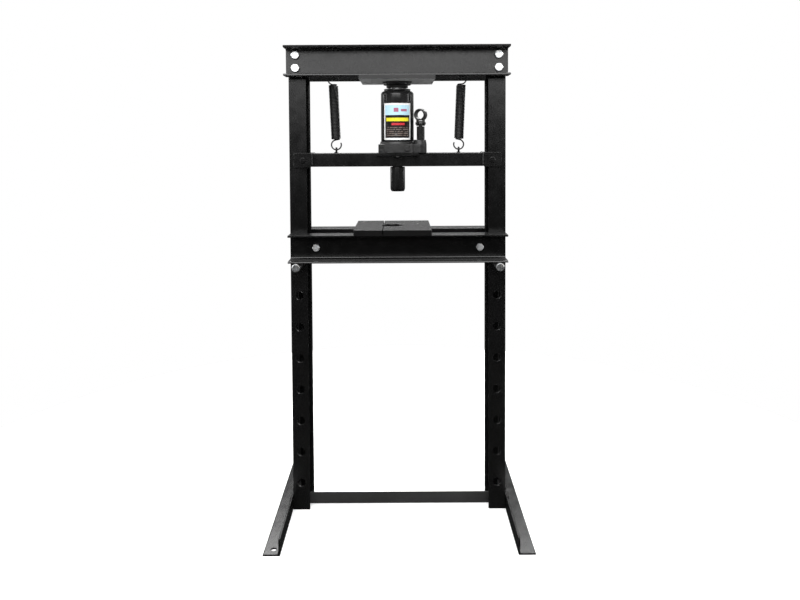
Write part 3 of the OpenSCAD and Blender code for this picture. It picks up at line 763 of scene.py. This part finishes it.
def spring_path(side):
    """Centre line of the wire: lower hook, close-wound coil, upper hook."""
    low_x, low_z = SPRING_LOW_X, SPRING_HOOK_LOW_Z
    top_x, top_z = SPRING_TOP_X, SPRING_HOOK_TOP_Z
    reach = 0.006
    hook_reach = reach * 1.3
    hook_steps = 48
    coil_steps = COIL_TURNS * 26

    def axis_x(z):
        """Place on the leaning line between the two hooks."""
        return -(low_x + (top_x - low_x) * (z - low_z) / (top_z - low_z))

    def hook(centre_x, centre_z, first, sweep):
        """Open circle of wire in the plane of the press."""
        angles = [math.radians(first + sweep * i / hook_steps) for i in range(hook_steps + 1)]
        return [Vector((-centre_x + HOOK_R * math.cos(a), 0, centre_z + HOOK_R * math.sin(a)))
                for a in angles]

    def coil_point(turn, z):
        """Point of the coil at an angle and a height."""
        return Vector((axis_x(z) + COIL_R * math.cos(turn), COIL_R * math.sin(turn), z))

    lower = hook(low_x, low_z, *LOWER_HOOK)
    upper = hook(top_x, top_z, *UPPER_HOOK)
    first, last = math.radians(COIL_SPAN[0]), math.radians(COIL_SPAN[1] + 360 * COIL_TURNS)
    coil = []
    for i in range(coil_steps + 1):
        z = COIL_LOW_Z + (COIL_TOP_Z - COIL_LOW_Z) * i / coil_steps
        coil.append(coil_point(first + (last - first) * i / coil_steps, z))
    enter = bezier([
        lower[-1], lower[-1] + (lower[-1] - lower[-2]).normalized() * hook_reach,
        coil[0] - (coil[1] - coil[0]).normalized() * reach, coil[0],
    ])
    leave = bezier([
        coil[-1], coil[-1] + (coil[-1] - coil[-2]).normalized() * reach,
        upper[0] - (upper[1] - upper[0]).normalized() * hook_reach, upper[0],
    ])
    half_turn = Matrix.Rotation(math.pi, 4, "Z") if side > 0 else Matrix.Identity(4)
    return [half_turn @ p for p in lower + enter + coil + leave + upper]


def build_springs():
    """Both return springs, stretched between the crown and the yoke."""
    for side, node in ((-1, "left_spring"), (1, "right_spring")):
        bm = bmesh.new()
        add_tube(bm, spring_path(side), WIRE_R)
        obj = add_mesh(node + ".wire", bm, wire)
        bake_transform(obj)
        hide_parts(node)


# --------------------------------------------------------------- turned pieces


def turned(node, profile, material, body, slot, **options):
    """A lathe piece in place of a turned CAD node."""
    bm = bmesh.new()
    add_lathe(bm, profile, **options)
    obj = add_mesh(node + ".turned", bm, material, body)
    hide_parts(node)


def build_tank():
    """Oil tank: a thin drum with a round shoulder and an open neck."""
    low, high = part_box("jack_tank")
    outer, top = high.x, high.z
    inner = outer - TANK_WALL
    gland_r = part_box("gland_nut")[1].x
    bend = 0.004
    steps = 10
    shoulder = [
        (outer - (outer - gland_r) * (1 - math.cos(a)), top - SHOULDER_H * (1 - math.sin(a)))
        for a in (math.pi / 2 * i / steps for i in range(steps + 1))
    ]
    inside = [
        (NECK_R, top), (NECK_R, top - TANK_WALL),
        (inner - bend, top - TANK_WALL - 0.001), (inner, top - SHOULDER_H - 0.002),
        (inner, low.z),
    ]
    turned("jack_tank", [(outer, low.z), *shoulder, *inside], paint_jack, "press_carriage",
           "jack_paint", segments=128, loop=True)


def build_gland():
    """Ribbed gland nut in the tank's neck, with a groove for the wiper seal."""
    low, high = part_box("gland_nut")
    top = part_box("jack_tank")[1].z
    groove_r = GLAND_BORE_R + 0.003
    groove_z = high.z - 0.005
    plain = 0.0012
    profile = closed([
        (GLAND_BORE_R, low.z), (GLAND_THREAD_R, low.z), (GLAND_THREAD_R, top), (high.x, top),
        (high.x, high.z), (groove_r, high.z), (groove_r, groove_z), (GLAND_BORE_R, groove_z),
    ], 0.0009)
    turned("gland_nut", profile, paint_jack, "press_carriage", "jack_paint", segments=240,
           loop=True, knurl=(top + plain, high.z - plain, 0.0007, 60))


def build_head():
    """Press head: a round bar with a bevelled end and a neck up into the yoke."""
    low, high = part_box("press_head")
    r = high.x
    bevel_r, bevel_h = 0.0025, 0.006
    neck_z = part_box("yoke_channel")[0].z - 0.002
    profile = rounded([
        (0, low.z), (r - bevel_r, low.z), (r, low.z + bevel_h), (r, neck_z),
        (HEAD_NECK_R, neck_z), (HEAD_NECK_R, high.z), (0, high.z),
    ], 0.0012)
    turned("press_head", profile, paint_frame, "press_carriage", "frame_paint")


def build_cup():
    """Ring under the bolster that centres the saddle."""
    low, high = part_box("ram_cup")
    r = high.x
    profile = closed([
        (CUP_BORE_R, low.z), (r, low.z), (r, high.z), (CUP_BORE_R, high.z),
    ], 0.0012)
    turned("ram_cup", profile, paint_frame, "frame", "frame_paint", loop=True)


def build_saddle():
    """Ribbed saddle on the extension screw, which drops into the ram."""
    low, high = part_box("extension_screw")
    r = high.x
    ram_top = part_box("jack_ram")[1].z
    profile = rounded([
        (0, low.z), (SCREW_R, low.z), (SCREW_R, ram_top), (r, ram_top), (r, high.z),
        (0, high.z),
    ], 0.0011)
    turned("extension_screw", profile, black_oxide, "frame", "blackened_steel", segments=192,
           knurl=(ram_top + 0.0022, ram_top + 0.0062, 0.0005, 48))


# ----------------------------------------------------------------------- welds


def weld_crown():
    """Beads of the bolster, of the ring under it and of the rods that hold the springs."""
    bm = bmesh.new()
    low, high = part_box("bolster_plate")
    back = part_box("crown_rear")[0].y
    for x in (low.x, high.x):
        for y0, y1 in ((low.y + 0.004, -back - 0.002), (back + 0.002, high.y - 0.004)):
            add_bead(bm, straight((x, y0, high.z), (x, y1, high.z)), WIDE_BEAD)
    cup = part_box("ram_cup")[1]
    add_bead(bm, circle((0, 0, cup.z), cup.x), MIDDLE_BEAD)
    low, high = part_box("spring_hangers")
    z = (low.z + high.z) / 2
    ring_r = 0.0044
    steps = 48
    for x in (-SPRING_TOP_X, SPRING_TOP_X):
        for y in (low.y, high.y):
            ring = [Vector((x + ring_r * math.cos(a), y, z + ring_r * math.sin(a)))
                    for a in (2 * math.pi * k / steps for k in range(steps + 1))]
            add_bead(bm, ring, HANGER_BEAD)
    add_mesh("crown_welds", bm, weld, "frame")


def weld_yoke():
    """Beads of the yoke's end blocks, of the seat wings and of the press head."""
    bm = bmesh.new()
    low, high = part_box("yoke_channel")
    for x in (low.x, high.x):
        for y in (low.y, high.y):
            add_bead(bm, straight((x, y, low.z + 0.002), (x, y, high.z - 0.001)), MIDDLE_BEAD)
        path = straight((x, low.y + 0.004, high.z), (x, high.y - 0.004, high.z))
        add_bead(bm, path, NARROW_BEAD)
    seat_low, seat_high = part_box("jack_seat")
    inset = 0.006
    wall = 0.005
    neck_r = 0.0135
    for y in (low.y, high.y):
        path = straight((seat_low.x + inset, y, seat_low.z), (seat_high.x - inset, y, seat_low.z))
        add_bead(bm, path, MIDDLE_BEAD)
    add_bead(bm, circle((0, 0, high.z - wall), neck_r), NARROW_BEAD)
    add_mesh("yoke_welds", bm, weld, "press_carriage")


def weld_brace():
    """Beads between the lower brace and its end plates."""
    bm = bmesh.new()
    low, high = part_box("lower_brace")
    top = low.z + BRACE_H
    back = BRACE_FRONT + BRACE_DEPTH
    inset = 0.003
    for x in (low.x + 0.005, high.x - 0.005):
        path = straight((x, BRACE_FRONT, low.z + inset), (x, BRACE_FRONT, top - 0.002))
        add_bead(bm, path, MIDDLE_BEAD)
        path = straight((x, BRACE_FRONT + inset, top), (x, back - inset, top))
        add_bead(bm, path, NARROW_BEAD)
    add_mesh("brace_welds", bm, weld, "frame")


# ----------------------------------------------------------------------- stage


def area_light(name, location, target, width, height, power):
    """A rectangular light that faces a target."""
    light = bpy.data.lights.new(name, "AREA")
    light.shape = "RECTANGLE"
    light.size = width
    light.size_y = height
    light.energy = power
    obj = bpy.data.objects.new(name, light)
    obj.location = location
    aim = Vector(target) - Vector(location)
    obj.rotation_euler = aim.to_track_quat("-Z", "Y").to_euler()
    bpy.context.scene.collection.objects.link(obj)


def build_world():
    """White to the camera; to reflections a bright low backdrop behind and a dim room in front."""
    world = bpy.data.worlds.new("studio")
    world.use_nodes = True
    bpy.context.scene.world = world
    tree = world.node_tree
    tree.nodes.clear()

    def remap(value, low, high, to_low, to_high):
        """A smooth step from to_low to to_high between low and high."""
        node = tree.nodes.new("ShaderNodeMapRange")
        node.interpolation_type = "SMOOTHSTEP"
        tree.links.new(value, node.inputs[0])
        for socket, number in zip(node.inputs[1:5], (low, high, to_low, to_high)):
            socket.default_value = number
        return node.outputs[0]

    def combine(operation, a, b):
        """One operation on an output and an output or number."""
        node = tree.nodes.new("ShaderNodeMath")
        node.operation = operation
        tree.links.new(a, node.inputs[0])
        if isinstance(b, bpy.types.NodeSocket):
            tree.links.new(b, node.inputs[1])
        else:
            node.inputs[1].default_value = b
        return node.outputs[0]

    split = tree.nodes.new("ShaderNodeSeparateXYZ")
    tree.links.new(tree.nodes.new("ShaderNodeTexCoord").outputs["Generated"], split.inputs[0])
    x, y, z = split.outputs
    rear = remap(y, 0.1, 0.6, 0.0, 1.0)
    low_band = combine("MULTIPLY", remap(z, 0.1, 0.42, 1.0, 0.0), remap(z, -0.03, 0.06, 0.0, 1.0))
    backdrop = combine("MULTIPLY", combine("MULTIPLY", rear, low_band), 0.25)
    overhead = remap(z, 0.3, 0.9, 0.02, 0.4)
    aside = remap(combine("ABSOLUTE", x, 0.0), 0.3, 0.6, 0.0, 0.2)
    strength = combine("ADD", combine("ADD", backdrop, overhead), aside)
    soft = tree.nodes.new("ShaderNodeBackground")
    tree.links.new(strength, soft.inputs["Strength"])
    white = tree.nodes.new("ShaderNodeBackground")
    white.inputs["Strength"].default_value = 1.0
    for node in (soft, white):
        node.inputs["Color"].default_value = (1, 1, 1, 1)
    blend = tree.nodes.new("ShaderNodeMixShader")
    output = tree.nodes.new("ShaderNodeOutputWorld")
    tree.links.new(tree.nodes.new("ShaderNodeLightPath").outputs["Is Camera Ray"], blend.inputs[0])
    tree.links.new(soft.outputs[0], blend.inputs[1])
    tree.links.new(white.outputs[0], blend.inputs[2])
    tree.links.new(blend.outputs[0], output.inputs[0])


def build_floor():
    """A pale disc under the feet that glossy surfaces don't mirror."""
    bm = bmesh.new()
    bmesh.ops.create_circle(bm, cap_ends=True, radius=FLOOR_R, segments=96)
    s = Shader("pale floor", Roughness=0.9, Specular_IOR_Level=0.1)
    s.set("Base Color", s.mix(s.noise(3, 4), grey(0.86), grey(0.9)))
    s.set("Emission Color", (1, 1, 1, 1))
    s.set("Emission Strength", FLOOR_GLOW)
    floor = add_mesh("floor", bm, s.material, smooth=False)
    floor.location.z = -FLOOR_DROP
    floor.visible_glossy = False


def build_camera():
    """A low, near camera whose picture shift keeps the posts upright."""
    data = bpy.data.cameras.new("camera")
    data.sensor_width = CAMERA_SENSOR
    data.lens = CAMERA_LENS
    data.shift_x, data.shift_y = CAMERA_SHIFT
    data.clip_end = CAMERA_CLIP
    camera = bpy.data.objects.new("camera", data)
    pitch, roll, yaw = (math.radians(a) for a in (CAMERA_PITCH, CAMERA_ROLL, CAMERA_YAW))
    aim = Matrix.Rotation(yaw, 4, "Z") @ Matrix.Rotation(math.pi / 2 - pitch, 4, "X")
    place = Matrix.Translation(CAMERA_PLACE)
    camera.matrix_world = place @ aim @ Matrix.Rotation(roll, 4, "Z")
    bpy.context.scene.collection.objects.link(camera)
    bpy.context.scene.camera = camera


# ------------------------------------------------------------------- the press


paint_frame = powder_coat("black powder coat", base=0.003, roughness=0.21)
# The crown's copy of the frame's black paint has a lighter base colour: painted light for the
# brighter light on the crown.
paint_crown_painted_lighter = powder_coat("black powder coat, painted lighter for the crown", base=0.018, roughness=0.27)
# The brace's copy of the frame's black paint has a lighter base colour: painted light for the
# brighter light on the brace.
paint_brace_painted_lighter = powder_coat("black powder coat, painted lighter for the brace", base=0.018, roughness=0.36)
# The bolster's faces that look down are coloured lighter through under: painted light on its
# underside.
paint_bolster = powder_coat("black paint with painted light underside", base=0.008, roughness=0.4,
                            under=0.22)
paint_plate = powder_coat("black paint on ground plate", base=0.005, roughness=0.26,
                          peel=0.00003, edge_highlight_strength=0.6, level=0.17, vary=0.25)
paint_jack = gloss_enamel("black gloss enamel", base=0.010, roughness=0.2)
paint_cast = cast_enamel("black enamel on casting", base=0.011, roughness=0.36)
bright_zinc = zinc("bright zinc", base=0.9, roughness=0.36)
worn_zinc = zinc("worn zinc", base=0.42, roughness=0.34, dull=0.6)
black_oxide = turned_steel("blackened steel", base=0.06, roughness=0.45, oil=0.5)
wire = spring_wire("blacked spring wire")
ram_chrome = turned_steel("ground ram", base=0.62, roughness=0.12, oil=0.3)
machined = turned_steel("turned steel", base=0.42, roughness=0.32)
black_rubber = rubber("black rubber")
weld = weld_metal("painted weld")
print_film = label_print("printed film", radius=TANK_R, base_z=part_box("tank_label")[0].z)

dress(paint_frame, "left_post", "right_post", "left_foot", "right_foot",
      "bed_front", "bed_rear", "bed_spacers", "yoke_channel", "yoke_ends", "guide_plates",
      "guide_screws", "press_head", "jack_seat", "ram_cup", "spring_hangers")
dress(paint_crown_painted_lighter, "crown_front", "crown_rear")
dress(paint_bolster, "bolster_plate")
dress(paint_brace_painted_lighter, "lower_brace")
dress(paint_plate, "left_plate", "right_plate")
dress(paint_jack, "jack_tank", "gland_nut", "pump_cylinder", "handle_socket", "pump_plunger",
      "fulcrum_link")
dress(paint_cast, "jack_base")
dress(bright_zinc, "crown_bolts", "crown_nuts", "eye_nuts", "bed_bolts", "bed_nuts")
dress(black_oxide, "foot_bolts", "foot_nuts", "jack_bolts", "release_valve", "fulcrum_pins",
      "plunger_pin")
dress(worn_zinc, "left_bed_pin", "right_bed_pin")
dress(wire, "left_spring", "right_spring", "spring_eyes")
dress(ram_chrome, "jack_ram")
dress(machined, "extension_screw", "jack_cylinder")
dress(black_rubber, "piston_cup", "ram_seal", "pump_seal", "filler_plug")
dress(print_film, "tank_label")

build_springs()
add_bolts("crown_bolts", Y_AXIS, M12_PITCH, bright_zinc, "frame")
add_nuts("crown_nuts", Y_AXIS, bright_zinc, "frame")
add_bolts("bed_bolts", Y_AXIS, M10_PITCH, bright_zinc, "bed")
add_nuts("bed_nuts", Y_AXIS, bright_zinc, "bed")
add_bolts("foot_bolts", X_AXIS, M10_PITCH, black_oxide, "frame")
add_nuts("foot_nuts", X_AXIS, black_oxide, "frame")
add_bolts("jack_bolts", Z_AXIS, M8_PITCH, black_oxide, "press_carriage")
add_nuts("eye_nuts", Z_AXIS, bright_zinc, "press_carriage")
build_tank()
build_gland()
build_head()
build_cup()
build_saddle()
cast_copy("jack_base", "jack_base.cast", paint_cast, "press_carriage",
          voxel=0.0008, smooth=3)
cast_copy("handle_socket", "handle_socket.cast", paint_jack, "socket",
          voxel=0.0005, smooth=3)
cast_copy("fulcrum_link", "fulcrum_link.cast", paint_jack, "press_carriage",
          voxel=0.0004, smooth=3)
weld_crown()
weld_yoke()
weld_brace()
round_edges(EDGE_ROUND, "crown_front", "crown_rear", "bed_front", "bed_rear", "left_post",
            "right_post", "bolster_plate", "left_plate", "right_plate", "left_foot",
            "right_foot", "lower_brace", "yoke_channel", "yoke_ends", "guide_plates",
            "jack_seat")

build_world()
build_floor()
build_camera()
for name, place, target, width, height, power in LIGHTS:
    area_light(name, place, target, width, height, power)
bpy.context.scene.view_settings.view_transform = "Standard"
